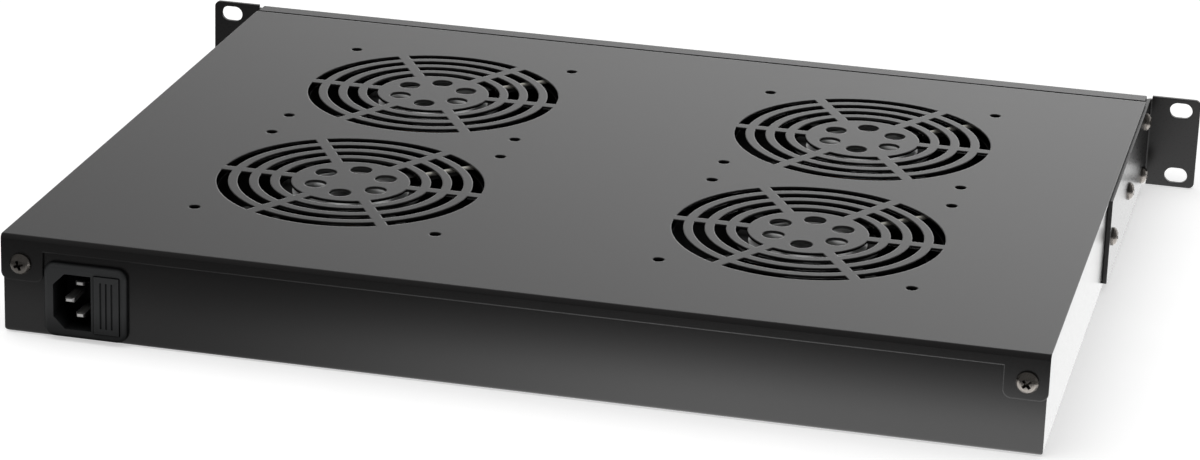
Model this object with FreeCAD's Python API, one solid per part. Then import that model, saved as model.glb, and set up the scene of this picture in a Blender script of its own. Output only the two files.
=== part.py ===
"""A 1U rack fan tray for 19 inch racks: a folded steel tray with a screwed-on cover, two rack
brackets and four 120 mm axial mains fans, fed by a fused mains inlet and a rocker switch.

Frame, in millimetres: the origin is the middle of the four rack slots, on the plane where the
ears meet the rack's rails. +X is to the right as seen from the front, +Y runs back into the
rack and +Z is up. The fans blow upwards.
"""
import FreeCAD, Part
import math
import os

os.makedirs("parts", exist_ok=True)

Vec = FreeCAD.Vector
AXIS_X = Vec(1, 0, 0)
AXIS_Y = Vec(0, 1, 0)
AXIS_Z = Vec(0, 0, 1)

# ---- Rack interface -------------------------------------------------------------------------
RACK_WIDTH = 482.6            # across the two ears
EAR_HEIGHT = 43.0             # one rack unit less its clearance
RACK_SLOT_INSET = 8.75        # slot centres, in from the ears' outer edges
RACK_SLOT_PITCH_Z = 31.75     # slot centres, bottom to top
RACK_SLOT_LENGTH = 10.6       # end to end
RACK_SLOT_WIDTH = 7.4
EAR_CORNER = 2.5

# ---- Brackets -------------------------------------------------------------------------------
BRACKET_SHEET = 2.0
BRACKET_BEND = 0.8            # inside radius
EAR_REACH = 25.3              # ear beyond the tray's side
ARM_LENGTH = 151.0            # behind the rack plane
ARM_HEIGHT = 38.0
ARM_MIDDLE = 1.0              # height of the arm's middle
ARM_SCREW_FIRST = 16.0        # first screw row behind the rack plane
ARM_SCREW_LAST = 9.0          # last screw ahead of the arm's end
ARM_SCREW_PAIR = 26.0         # between the two screws of the first row

# ---- Tray and cover -------------------------------------------------------------------------
TRAY_DEPTH = 346.0
TRAY_HEIGHT = 43.0            # with the cover on
SHEET = 1.2
SHEET_BEND = 0.8              # inside radius
RIM = 9.0                     # inward flanges that the cover rests on
FRONT_FLANGE = 9.7            # top flange of the front wall
COVER_OVERHANG = 0.7          # cover beyond each side wall
COVER_GAP = 1.5               # between the front flange and the cover's edge
COVER_LIP = 6.0
COVER_CLEARANCE = 0.1         # cover to tray, where it hangs over the rear wall
TAB_WIDTH = 18.1
TAB_DROP = 19.5               # from the cover's top face
TAB_CORNER = 3.5
TONGUE_WIDTH = 96.0
TONGUE_MIDDLE = 84.5
TONGUE_REACH = 5.5            # under the front flange
TONGUE_CLEARANCE = 0.15

# ---- Grilles --------------------------------------------------------------------------------
GRILLE_RADIUS = 57.5          # outer edge of the outermost slots
GRILLE_SLOT = 5.0
GRILLE_RIB = 4.0              # metal between two rings of slots
GRILLE_RINGS = 4
GRILLE_WEB = 5.0              # straight webs that join the ribs
GRILLE_WEBS = 6
GRILLE_HUB_HOLE = 9.5
GRILLE_HUB_CIRCLE = 31.0      # pitch circle of the hub holes
COVER_FIX_HOLE = 5.0          # holes over the fans' fixing pattern

# ---- Fans -----------------------------------------------------------------------------------
FAN_PITCH_X = 200.0
FAN_PITCH_Y = 130.0
FAN_SIZE = 119.5
FAN_DEPTH = 38.0
FAN_FIX_PITCH = 105.0
FAN_FIX_HOLE = 4.3
FAN_FLANGE = 4.5
FAN_CORNER = 4.0
FAN_BORE = 114.0
FAN_WALL = 2.2
FAN_STRUTS = 4
STRUT_WIDTH = 5.0
STRUT_DEPTH = 4.5
STRUT_ANGLE = 45.0            # of the first strut, from +X
MOTOR_PLATE = 62.0            # diameter
MOTOR_PLATE_DEPTH = 3.0
MOTOR_PLATE_DROP = 0.8        # below the frame's top
BEARING_BORE = 11.0
BEARING_WIDTH = 4.0
BEARING_TUBE_WALL = 1.6
SHAFT = 4.0
ROTOR_CUP = 61.0              # outer diameter
ROTOR_WALL = 1.6
ROTOR_LIFT = 3.5              # cup above the frame's underside
ROTOR_GAP = 0.8               # cup's rim to the struts
ROTOR_BOSS = 9.0              # diameter of the boss that holds the shaft
BLADES = 5
BLADE_SHEET = 1.6
BLADE_RUN = 31.0              # along the circumference
BLADE_RISE = 25.0             # along the axis
BLADE_CAMBER = 3.5
BLADE_TIP_GAP = 1.1
STATOR_GAP = 0.8              # stator to rotor cup
STATOR_DEPTH = 18.0
STATOR_DROP = 0.5             # its coils below the struts
STATOR_POLES = 4
STATOR_HUB = 24.0             # diameter
POLE_WIDTH = 10.0
POLE_SHOE = 3.5
POLE_SHOE_SPAN = 64.0         # degrees
COIL_THICK = 4.0              # beside each pole
COIL_OVERHANG = 2.4           # beyond each end of the core
COIL_CLEARANCE = 0.1
LABEL = 50.0
LABEL_SHEET = 0.2
LEAD_BOSS = 6.0               # square boss on the motor plate, where the fan's lead comes out
LEAD_BOSS_HEIGHT = 2.8

# ---- Screws ---------------------------------------------------------------------------------
M4 = 4.0
M4_HOLE = 4.4
PAN_HEAD = 8.0
PAN_HEIGHT = 2.6
PAN_CROWN = 0.35              # share of a pan head's height that is bevelled
COVER_SCREW_HEAD = 9.0
COVER_SCREW_HEIGHT = 3.0
COVER_SCREW_INSET = 7.9       # from the tray's side
COVER_SCREW_DROP = 12.0       # below the cover's top face
FLAT_HEAD = 6.6               # trimmed countersunk heads under the tray
FLAT_CLEARANCE = 0.1
SCREW_REACH = 5.0             # thread beyond the sheets that it holds
CLINCH_NUT = 8.0
CLINCH_DEPTH = 3.0

# ---- Mains inlet with its fuse drawer -------------------------------------------------------
INLET_INSET = 36.1            # inlet's middle, in from the tray's side
INLET_Z = -4.2
INLET_FLANGE_WIDTH = 36.0
INLET_FLANGE_HEIGHT = 32.2
INLET_FLANGE_CORNER = 4.5
INLET_PROUD = 3.0
INLET_ROUND = 2.0             # rounding of the flange's outer rim
INLET_BODY_WIDTH = 31.0
INLET_BODY_HEIGHT = 28.4
INLET_BODY_DEPTH = 24.0       # behind the panel
INLET_CLEARANCE = 0.2         # body to its cut-out
SOCKET_OFFSET = 5.4           # socket's middle, beside the inlet's middle
SOCKET_WIDTH = 16.4
SOCKET_HEIGHT = 24.0
SOCKET_DEPTH = 16.5
SOCKET_CHAMFER = 5.0
PIN_WIDTH = 4.0
PIN_THICK = 2.0
PIN_PITCH = 14.0              # line to neutral
PIN_LINE_OFFSET = -2.0        # line and neutral, beside the socket's middle
PIN_EARTH_OFFSET = 4.0        # earth, beside line and neutral
PIN_SHORT = 4.0               # line and neutral tips below the flange's face
PIN_EARTH_LONGER = 2.0
PIN_TIP_WIDTH = 2.6           # flat end of a pin, inside its chamfers
PIN_TIP_THICK = 1.2
PIN_TIP_DEPTH = 0.8
TAG_LENGTH = 8.0              # solder tags behind the body
TAG_THICK = 0.8
DRAWER_OFFSET = -9.6
DRAWER_WIDTH = 10.8
DRAWER_HEIGHT = 25.0
DRAWER_DEPTH = 21.0
DRAWER_CLEARANCE = 0.25
DRAWER_PROUD = 0.5
DRAWER_GROOVE = 0.8           # finger grooves, twice as wide as deep
DRAWER_GROOVE_PITCH = 2.4
DRAWER_GROOVE_LENGTH = 20.0
FUSE_LENGTH = 20.0
FUSE_CAP = 5.5
FUSE_CAP_WALL = 0.3
FUSE_CLEARANCE = 0.2

# ---- Rocker switch --------------------------------------------------------------------------
SWITCH_INSET = 31.0           # switch's middle, in from the tray's side
SWITCH_Z = 0.0
SWITCH_BEZEL_WIDTH = 17.0
SWITCH_BEZEL_HEIGHT = 25.0
SWITCH_BEZEL_CORNER = 1.5
SWITCH_PROUD = 2.0
SWITCH_BODY_WIDTH = 14.4
SWITCH_BODY_HEIGHT = 22.0
SWITCH_BODY_DEPTH = 16.0      # behind the panel
SWITCH_CLEARANCE = 0.2
ROCKER_RADIUS = 9.0
ROCKER_WIDTH = 11.0
ROCKER_PIVOT = 4.0            # below the bezel's face
ROCKER_CROWN = 35.0           # degrees from the rocker's middle plane to its proud ends
ROCKER_WAIST = 3.4            # pivot to the valley between its two faces
ROCKER_SWING = 13.0           # degrees either side of level
ROCKER_CLEARANCE = 0.3
ROCKER_PIN = 2.4
ROCKER_PIN_REACH = 1.2
ROCKER_PIN_GAP = 0.05
SWITCH_TAG_WIDTH = 4.8
SWITCH_TAG_PITCH = 11.0       # between the two tags

# ---- Wiring ---------------------------------------------------------------------------------
LEAD = 1.8                    # diameter of every internal lead
LEAD_REST = 0.2               # lead to the sheet that it lies on
LEAD_BEND = 0.45              # most of the shorter run that a bend takes
LEAD_TURN = 9.0               # most of a run that a bend takes, and so the radius of a square bend
LEAD_CORNER = 44.0            # fan's middle to the point where its lead turns, along X and along Y
LEAD_SLANT = 3.0
LEAD_FALL = 10.0              # fan's side to its falling lead
LEAD_GAP = 5.0                # between the leads of a front fan and a rear fan
TERMINAL_X = 120.0
TERMINAL_Y = 319.0
TERMINAL_WAYS = 4
TERMINAL_PITCH = 8.0
TERMINAL_WIDTH = 16.0
TERMINAL_HEIGHT = 13.0
TERMINAL_SHOULDER = 3.5       # width and height of the step over each wire entry
TERMINAL_ENTRY = 3.0          # diameter of the wire holes
TERMINAL_ENTRY_Z = 4.5        # their height above the floor
TERMINAL_GRIP = 3.0           # lead inside its hole
TERMINAL_LEAD_IN = 18.0       # straight lead ahead of its hole
TERMINAL_SCREW = 3.2
TERMINAL_SCREW_SPACING = 5.5  # between the two screws of one way
TERMINAL_SCREW_SINK = 1.0
M3 = 3.0
M3_HEAD = 5.5
M3_HEAD_HEIGHT = 2.0
EARTH_INSET = 16.0            # stud's middle, in from the tray's side
EARTH_Y = 262.0
EARTH_STUD_LENGTH = 11.0
EARTH_NUT = 7.0               # across flats
EARTH_NUT_HEIGHT = 3.2
EARTH_LUG = 8.0
EARTH_LUG_SHEET = 0.8
EARTH_BARREL = 3.0
EARTH_BARREL_LENGTH = 10.0

# ---- Derived sizes and planes ---------------------------------------------------------------
RACK_SLOT_PITCH_X = RACK_WIDTH - 2 * RACK_SLOT_INSET
TRAY_WIDTH = RACK_WIDTH - 2 * EAR_REACH
BOTTOM = -TRAY_HEIGHT / 2
TOP = TRAY_HEIGHT / 2
RIM_TOP = TOP - SHEET
FLOOR = BOTTOM + SHEET
FRONT = -BRACKET_SHEET                 # tray's front face, flush with the ears
REAR = FRONT + TRAY_DEPTH
SIDE = TRAY_WIDTH / 2
COVER_SIDE = SIDE + COVER_OVERHANG
COVER_FRONT = FRONT + FRONT_FLANGE + COVER_GAP
COVER_REAR = REAR + COVER_CLEARANCE + SHEET
FAN_MIDDLE_Y = (FRONT + REAR) / 2
FAN_TOP = FLOOR + FAN_DEPTH
COVER_SCREW_X = SIDE - COVER_SCREW_INSET
COVER_SCREW_Z = TOP - COVER_SCREW_DROP
INLET_X = SIDE - INLET_INSET
INLET_FACE = REAR + INLET_PROUD
SWITCH_X = SIDE - SWITCH_INSET
SWITCH_BACK = FRONT + SHEET + SWITCH_BODY_DEPTH
INLET_TAG_END = REAR - SHEET - INLET_BODY_DEPTH - TAG_LENGTH
EARTH_X = SIDE - EARTH_INSET
LEAD_LOW = FLOOR + LEAD_REST + LEAD / 2
LEAD_HIGH = FAN_TOP + LEAD_REST + LEAD / 2
FAN_PLACES = [
    (-FAN_PITCH_X / 2, FAN_MIDDLE_Y - FAN_PITCH_Y / 2),
    (FAN_PITCH_X / 2, FAN_MIDDLE_Y - FAN_PITCH_Y / 2),
    (-FAN_PITCH_X / 2, FAN_MIDDLE_Y + FAN_PITCH_Y / 2),
    (FAN_PITCH_X / 2, FAN_MIDDLE_Y + FAN_PITCH_Y / 2),
]
# Heights inside a fan, above its own underside.
PLATE_TOP = FAN_DEPTH - MOTOR_PLATE_DROP
PLATE_UNDER = PLATE_TOP - MOTOR_PLATE_DEPTH
ROTOR_RIM = PLATE_TOP - STRUT_DEPTH - ROTOR_GAP
TUBE_FOOT = ROTOR_LIFT + ROTOR_WALL + 2 * BEARING_WIDTH


# ---- Helpers --------------------------------------------------------------------------------
def export(name, shape):
    shape.exportStep("parts/" + name + ".step")


def group(shapes):
    return Part.makeCompound(shapes)


def block(x0, x1, y0, y1, z0, z1):
    return Part.makeBox(x1 - x0, y1 - y0, z1 - z0, Vec(x0, y0, z0))


def upright_block(x, z, width, height, y0, y1):
    """Block given by its middle and size on a front or rear panel."""
    return block(x - width / 2, x + width / 2, y0, y1, z - height / 2, z + height / 2)


def rod(centre, radius, length, axis=AXIS_Z):
    return Part.makeCylinder(radius, length, centre, axis)


def ring(centre, outer, inner, length, axis=AXIS_Z):
    return rod(centre, outer, length, axis).cut(rod(centre, inner, length, axis))


def polar(radius, degrees):
    angle = math.radians(degrees)
    return Vec(radius * math.cos(angle), radius * math.sin(angle), 0)


def arc(radius, start, end):
    """An arc about the origin, from one angle to another in degrees."""
    return Part.Arc(polar(radius, start), polar(radius, (start + end) / 2), polar(radius, end)).toShape()


def line(a, b):
    return Part.LineSegment(a, b).toShape()


def prism(edges, depth):
    """Closed outline in the XY plane, extruded upwards."""
    return Part.Face(Part.Wire(edges)).extrude(AXIS_Z * depth)


def rounded_plate(width, height, corner, depth):
    """Plate centred on the origin, lying in the XY plane, with round corners."""
    plate = Part.makeBox(width, height, depth, Vec(-width / 2, -height / 2, 0))
    upright = [e for e in plate.Edges if abs(e.Vertexes[0].Z - e.Vertexes[1].Z) > depth / 2]
    return plate.makeFillet(corner, upright)


def obround(length, width, depth):
    """Slot with round ends, along X, centred on the origin."""
    reach = (length - width) / 2
    body = Part.makeBox(2 * reach, width, depth, Vec(-reach, -width / 2, 0))
    ends = [Part.makeCylinder(width / 2, depth, Vec(side * reach, 0, 0)) for side in (-1, 1)]
    return body.multiFuse(ends).removeSplitter()


def placed(shape, origin, x_axis, y_axis):
    """Copy of a shape with its own X and Y axes turned to two given directions."""
    z_axis = x_axis.cross(y_axis)
    matrix = FreeCAD.Matrix(
        x_axis.x, y_axis.x, z_axis.x, origin.x,
        x_axis.y, y_axis.y, z_axis.y, origin.y,
        x_axis.z, y_axis.z, z_axis.z, origin.z,
    )
    return shape.transformed(matrix, copy=True)


def mirrored(shape):
    """The same shape on the other side of the YZ plane."""
    return shape.mirror(Vec(0, 0, 0), AXIS_X)


def angle_strip(leg_x, leg_y, sheet, bend, depth):
    """L-shaped strip of sheet with its outer corner at the origin and its legs along +X and +Y."""
    outer = bend + sheet
    middle = Vec(outer, outer, 0)
    half = math.sqrt(0.5)
    edges = [
        line(Vec(leg_x, 0, 0), Vec(outer, 0, 0)),
        Part.Arc(Vec(outer, 0, 0), middle - Vec(half, half, 0) * outer, Vec(0, outer, 0)).toShape(),
        line(Vec(0, outer, 0), Vec(0, leg_y, 0)),
        line(Vec(0, leg_y, 0), Vec(sheet, leg_y, 0)),
        line(Vec(sheet, leg_y, 0), Vec(sheet, outer, 0)),
        Part.Arc(Vec(sheet, outer, 0), middle - Vec(half, half, 0) * bend, Vec(outer, sheet, 0)).toShape(),
        line(Vec(outer, sheet, 0), Vec(leg_x, sheet, 0)),
        line(Vec(leg_x, sheet, 0), Vec(leg_x, 0, 0)),
    ]
    return prism(edges, depth)


def corners(pitch_x, pitch_y):
    return [(sx * pitch_x / 2, sy * pitch_y / 2) for sx in (-1, 1) for sy in (-1, 1)]


def pan_screw(head, height, grip):
    """Pan head screw along +Z, with the underside of its head at the origin."""
    rim = height * PAN_CROWN
    top = Part.makeCylinder(head / 2, height - rim, Vec(0, 0, rim - height))
    top = top.fuse(Part.makeCone(head / 2 - rim, head / 2, rim, Vec(0, 0, -height)))
    return top.fuse(Part.makeCylinder(M4 / 2, grip + SCREW_REACH)).removeSplitter()


def lead(name, points):
    """Insulated lead: straight runs joined by tangent arcs. It says its length and its bends."""
    pieces = []
    radii = []
    length = 0
    start = points[0]
    for before, corner, after in zip(points, points[1:], points[2:]):
        arriving = corner - before
        leaving = after - corner
        turn = arriving.getAngle(leaving)
        reach = min(LEAD_TURN, LEAD_BEND * arriving.Length, LEAD_BEND * leaving.Length)
        radius = reach / math.tan(turn / 2)
        arriving.normalize()
        leaving.normalize()
        bend_start = corner - arriving * reach
        middle = corner + (leaving - arriving).normalize() * (radius / math.cos(turn / 2))
        disc = Part.Face(Part.Wire([Part.Circle(bend_start, arriving, LEAD / 2).toShape()]))
        pieces.append(rod(start, LEAD / 2, start.distanceToPoint(bend_start), arriving))
        pieces.append(disc.revolve(middle, arriving.cross(leaving), math.degrees(turn)))
        length += start.distanceToPoint(bend_start) + radius * turn
        radii.append(radius)
        start = corner + leaving * reach
    pieces.append(rod(start, LEAD / 2, start.distanceToPoint(points[-1]), points[-1] - start))
    length += start.distanceToPoint(points[-1])
    print("%s: length %.0f mm, bend radii from %.1f to %.1f mm" % (name, length, min(radii), max(radii)))
    return pieces[0].multiFuse(pieces[1:])


# ---- Grille pattern -------------------------------------------------------------------------
def grille_slot(outer, inner, start, end, depth):
    """Ring slot between two webs, whose ends run parallel to the webs."""
    outer_turn = math.degrees(math.asin(GRILLE_WEB / 2 / outer))
    inner_turn = math.degrees(math.asin(GRILLE_WEB / 2 / inner))
    edges = [
        arc(outer, start + outer_turn, end - outer_turn),
        line(polar(outer, end - outer_turn), polar(inner, end - inner_turn)),
        arc(inner, end - inner_turn, start + inner_turn),
        line(polar(inner, start + inner_turn), polar(outer, start + outer_turn)),
    ]
    return prism(edges, depth)


def grille_cutters(depth):
    """All holes of one fan grille, about the origin."""
    turn = 360.0 / GRILLE_WEBS
    cutters = []
    for number in range(GRILLE_RINGS):
        outer = GRILLE_RADIUS - number * (GRILLE_SLOT + GRILLE_RIB)
        for web in range(GRILLE_WEBS):
            cutters.append(grille_slot(outer, outer - GRILLE_SLOT, web * turn, (web + 1) * turn, depth))
    for web in range(GRILLE_WEBS):
        centre = polar(GRILLE_HUB_CIRCLE / 2, (web + 0.5) * turn)
        cutters.append(rod(centre, GRILLE_HUB_HOLE / 2, depth))
    return cutters


def grille_field(z, depth):
    """The grille's holes over every fan."""
    pattern = group(grille_cutters(depth))
    return [pattern.translated(Vec(x, y, z)) for x, y in FAN_PLACES]


# ---- Tray -----------------------------------------------------------------------------------
def folded_block(x0, x1, y0, y1, z0, z1, radius):
    """Block with round edges where the tray's sheet is folded: all but the top one at the front."""
    solid = block(x0, x1, y0, y1, z0, z1)
    level = [e for e in solid.Edges if abs(e.Vertexes[0].Z - e.Vertexes[1].Z) < 0.001]
    folds = [e for e in level if e.CenterOfMass.z < z0 + radius or e.CenterOfMass.y > y0 + radius]
    return solid.makeFillet(radius, folds)


def arm_screw_places():
    """Bracket screws as (y, z): a pair at the front, then one in each further row."""
    pair = [(ARM_SCREW_FIRST, ARM_MIDDLE + side * ARM_SCREW_PAIR / 2) for side in (-1, 1)]
    last = ARM_LENGTH - ARM_SCREW_LAST
    middle = (ARM_SCREW_FIRST + last) / 2
    return pair + [(middle, ARM_MIDDLE), (last, ARM_MIDDLE)]


def base_tray():
    bend = SHEET + SHEET_BEND
    outer = folded_block(-SIDE, SIDE, FRONT, REAR, BOTTOM, RIM_TOP, bend)
    inner = folded_block(
        -SIDE + SHEET, SIDE - SHEET, FRONT + SHEET, REAR - SHEET, FLOOR, RIM_TOP - SHEET, SHEET_BEND
    )
    mouth = block(-SIDE + RIM, SIDE - RIM, FRONT + SHEET, REAR - RIM, FLOOR + SHEET, TOP)
    front_bend = block(-SIDE, SIDE, FRONT, FRONT + bend, TOP - bend, TOP)
    flange = angle_strip(FRONT_FLANGE, SHEET + 2 * bend, SHEET, SHEET_BEND, TRAY_WIDTH)
    flange = placed(flange, Vec(SIDE, FRONT, TOP), AXIS_Y, AXIS_Z * -1)
    tray = outer.cut([inner, mouth, front_bend]).fuse(flange)

    cutters = grille_field(BOTTOM - 1, SHEET + 2)
    for x, y in FAN_PLACES:
        for dx, dy in corners(FAN_FIX_PITCH, FAN_FIX_PITCH):
            wide = FLAT_HEAD / 2 + FLAT_CLEARANCE
            cutters.append(Part.makeCone(wide, wide - SHEET, SHEET, Vec(x + dx, y + dy, BOTTOM)))
    cutters.append(rod(Vec(TERMINAL_X, TERMINAL_Y, BOTTOM - 1), M3 / 2, SHEET + 2))
    for y, z in arm_screw_places():
        cutters.append(rod(Vec(-SIDE - 1, y, z), M4_HOLE / 2, TRAY_WIDTH + 2, AXIS_X))
    for side in (-1, 1):
        place = Vec(side * COVER_SCREW_X, REAR - SHEET - 1, COVER_SCREW_Z)
        cutters.append(rod(place, M4_HOLE / 2, SHEET + 2, AXIS_Y))
    cutters.append(
        upright_block(
            INLET_X, INLET_Z, INLET_BODY_WIDTH + 2 * INLET_CLEARANCE,
            INLET_BODY_HEIGHT + 2 * INLET_CLEARANCE, REAR - SHEET - 1, REAR + 1,
        )
    )
    cutters.append(
        upright_block(
            SWITCH_X, SWITCH_Z, SWITCH_BODY_WIDTH + 2 * SWITCH_CLEARANCE,
            SWITCH_BODY_HEIGHT + 2 * SWITCH_CLEARANCE, FRONT - 1, FRONT + SHEET + 1,
        )
    )
    return tray.cut(cutters).removeSplitter()


# ---- Cover ----------------------------------------------------------------------------------
def cover_tongue():
    """Tongue joggled down by one sheet, so that it slides under the front flange."""
    step = SHEET + TONGUE_CLEARANCE
    tip = FRONT + FRONT_FLANGE - TONGUE_REACH
    heel = COVER_FRONT + SHEET
    path = [
        Vec(tip, -step, 0), Vec(COVER_FRONT - COVER_GAP, -step, 0), Vec(COVER_FRONT, 0, 0), Vec(heel, 0, 0),
        Vec(heel, -SHEET, 0), Vec(COVER_FRONT + SHEET / 2, -SHEET, 0),
        Vec(COVER_FRONT - COVER_GAP + SHEET / 2, -step - SHEET, 0), Vec(tip, -step - SHEET, 0),
    ]
    edges = [line(a, b) for a, b in zip(path, path[1:] + path[:1])]
    return prism(edges, TONGUE_WIDTH)


def top_cover():
    plate = block(-COVER_SIDE, COVER_SIDE, COVER_FRONT, COVER_REAR - SHEET - SHEET_BEND, RIM_TOP, TOP)
    lip = angle_strip(2 * RIM, COVER_LIP, SHEET, SHEET_BEND, 2 * COVER_SIDE)
    pieces = [placed(lip, Vec(-COVER_SIDE, COVER_REAR, TOP), AXIS_Y * -1, AXIS_Z * -1)]
    for side in (-1, 1):
        tab = Part.makeBox(TAB_WIDTH, SHEET, TAB_DROP - COVER_LIP / 2)
        low = [e for e in tab.Edges if abs(e.Length - SHEET) < 0.01 and e.CenterOfMass.z < 1]
        tab = tab.makeFillet(TAB_CORNER, low)
        x = COVER_SIDE - TAB_WIDTH if side > 0 else -COVER_SIDE
        pieces.append(tab.translated(Vec(x, COVER_REAR - SHEET, TOP - TAB_DROP)))
        tongue = cover_tongue()
        start = Vec(side * TONGUE_MIDDLE - TONGUE_WIDTH / 2, 0, TOP)
        pieces.append(placed(tongue, start, AXIS_Y, AXIS_Z))
    cover = plate.multiFuse(pieces)

    cutters = grille_field(RIM_TOP - 1, SHEET + 2)
    for x, y in FAN_PLACES:
        for dx, dy in corners(FAN_FIX_PITCH, FAN_FIX_PITCH):
            cutters.append(rod(Vec(x + dx, y + dy, RIM_TOP - 1), COVER_FIX_HOLE / 2, SHEET + 2))
    for side in (-1, 1):
        place = Vec(side * COVER_SCREW_X, REAR - 1, COVER_SCREW_Z)
        cutters.append(rod(place, M4_HOLE / 2, SHEET + 2, AXIS_Y))
    return cover.cut(cutters).removeSplitter()


# ---- Brackets -------------------------------------------------------------------------------
def rack_bracket():
    """Bracket of the +X side."""
    ear_reach = RACK_WIDTH / 2 - SIDE
    fold = angle_strip(ear_reach, ARM_LENGTH - FRONT, BRACKET_SHEET, BRACKET_BEND, ARM_HEIGHT)
    bracket = fold.translated(Vec(SIDE, FRONT, ARM_MIDDLE - ARM_HEIGHT / 2))
    ear_start = SIDE + BRACKET_SHEET + BRACKET_BEND
    ear_width = RACK_WIDTH / 2 - ear_start
    ear = Part.makeBox(ear_width, BRACKET_SHEET, EAR_HEIGHT, Vec(ear_start, FRONT, -EAR_HEIGHT / 2))
    bracket = bracket.fuse(ear).removeSplitter()
    rim = [
        e for e in bracket.Edges
        if abs(e.Length - BRACKET_SHEET) < 0.001 and abs(e.CenterOfMass.x - RACK_WIDTH / 2) < 0.001
    ]
    bracket = bracket.makeFillet(EAR_CORNER, rim)
    cutters = []
    slot = obround(RACK_SLOT_LENGTH, RACK_SLOT_WIDTH, BRACKET_SHEET + 2)
    for side in (-1, 1):
        place = Vec(RACK_SLOT_PITCH_X / 2, 1, side * RACK_SLOT_PITCH_Z / 2)
        cutters.append(placed(slot, place, AXIS_X, AXIS_Z))
    for y, z in arm_screw_places():
        cutters.append(rod(Vec(SIDE - 1, y, z), M4_HOLE / 2, BRACKET_SHEET + 2, AXIS_X))
    return bracket.cut(cutters)


def bracket_screws():
    screws = []
    screw = pan_screw(PAN_HEAD, PAN_HEIGHT, BRACKET_SHEET + SHEET)
    for y, z in arm_screw_places():
        right = placed(screw, Vec(SIDE + BRACKET_SHEET, y, z), AXIS_Z, AXIS_Y)
        screws += [right, mirrored(right)]
    return group(screws)


def bracket_nuts():
    nuts = []
    for y, z in arm_screw_places():
        place = Vec(SIDE - SHEET - CLINCH_DEPTH, y, z)
        nut = ring(place, CLINCH_NUT / 2, M4_HOLE / 2, CLINCH_DEPTH, AXIS_X)
        nuts += [nut, mirrored(nut)]
    return group(nuts)


def cover_screws():
    screw = pan_screw(COVER_SCREW_HEAD, COVER_SCREW_HEIGHT, 2 * SHEET + COVER_CLEARANCE)
    right = placed(screw, Vec(COVER_SCREW_X, COVER_REAR, COVER_SCREW_Z), AXIS_X, AXIS_Z)
    return group([right, mirrored(right)])


def cover_nuts():
    place = Vec(COVER_SCREW_X, REAR - SHEET - CLINCH_DEPTH, COVER_SCREW_Z)
    right = ring(place, CLINCH_NUT / 2, M4_HOLE / 2, CLINCH_DEPTH, AXIS_Y)
    return group([right, mirrored(right)])


# ---- Fans -----------------------------------------------------------------------------------
def fan_frame():
    """Cast frame with its struts and motor plate at the top, about the fan's own axis."""
    pieces = []
    for z in (0, FAN_DEPTH - FAN_FLANGE):
        plate = rounded_plate(FAN_SIZE, FAN_SIZE, FAN_CORNER, FAN_FLANGE)
        pieces.append(plate.translated(Vec(0, 0, z)))
    pieces.append(rod(Vec(0, 0, 0), FAN_BORE / 2 + FAN_WALL, FAN_DEPTH))
    frame = pieces[0].multiFuse(pieces[1:])
    cutters = [rod(Vec(0, 0, -1), FAN_BORE / 2, FAN_DEPTH + 2)]
    for dx, dy in corners(FAN_FIX_PITCH, FAN_FIX_PITCH):
        cutters.append(rod(Vec(dx, dy, -1), FAN_FIX_HOLE / 2, FAN_DEPTH + 2))
    frame = frame.cut(cutters)

    tube_length = PLATE_UNDER - TUBE_FOOT
    motor = [
        rod(Vec(0, 0, PLATE_UNDER), MOTOR_PLATE / 2, MOTOR_PLATE_DEPTH),
        rod(Vec(0, 0, TUBE_FOOT), BEARING_BORE / 2 + BEARING_TUBE_WALL, tube_length),
    ]
    for number in range(FAN_STRUTS):
        strut = Part.makeBox(
            FAN_BORE / 2 + FAN_WALL / 2, STRUT_WIDTH, STRUT_DEPTH,
            Vec(0, -STRUT_WIDTH / 2, PLATE_TOP - STRUT_DEPTH),
        )
        turn = STRUT_ANGLE + number * 360.0 / FAN_STRUTS
        motor.append(strut.rotated(Vec(0, 0, 0), AXIS_Z, turn))
    boss = Part.makeBox(
        LEAD_BOSS, LEAD_BOSS, LEAD_BOSS_HEIGHT, Vec(MOTOR_PLATE / 2 - LEAD_BOSS, -LEAD_BOSS / 2, PLATE_TOP)
    )
    motor.append(boss.rotated(Vec(0, 0, 0), AXIS_Z, 180 + STRUT_ANGLE))
    tube = rod(Vec(0, 0, TUBE_FOOT), BEARING_BORE / 2, tube_length)
    return frame.multiFuse(motor).cut(tube).removeSplitter()


def blade():
    """One curved sheet blade that stands out along +X, before it is trimmed to the rotor."""
    half_run = BLADE_RUN / 2
    half_rise = BLADE_RISE / 2
    low = Vec(-half_run, -half_rise, 0)
    high = Vec(half_run, half_rise, 0)
    normal = Vec(-half_rise, half_run, 0).normalize()
    crown = normal * BLADE_CAMBER
    skin = normal * BLADE_SHEET
    edges = [
        Part.Arc(low, crown, high).toShape(),
        line(high, high + skin),
        Part.Arc(high + skin, crown + skin, low + skin).toShape(),
        line(low + skin, low),
    ]
    reach = FAN_BORE / 2
    middle = (ROTOR_LIFT + ROTOR_RIM) / 2
    return placed(prism(edges, reach), Vec(0, 0, middle - BLADE_SHEET / 2), AXIS_Y, AXIS_Z)


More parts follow.
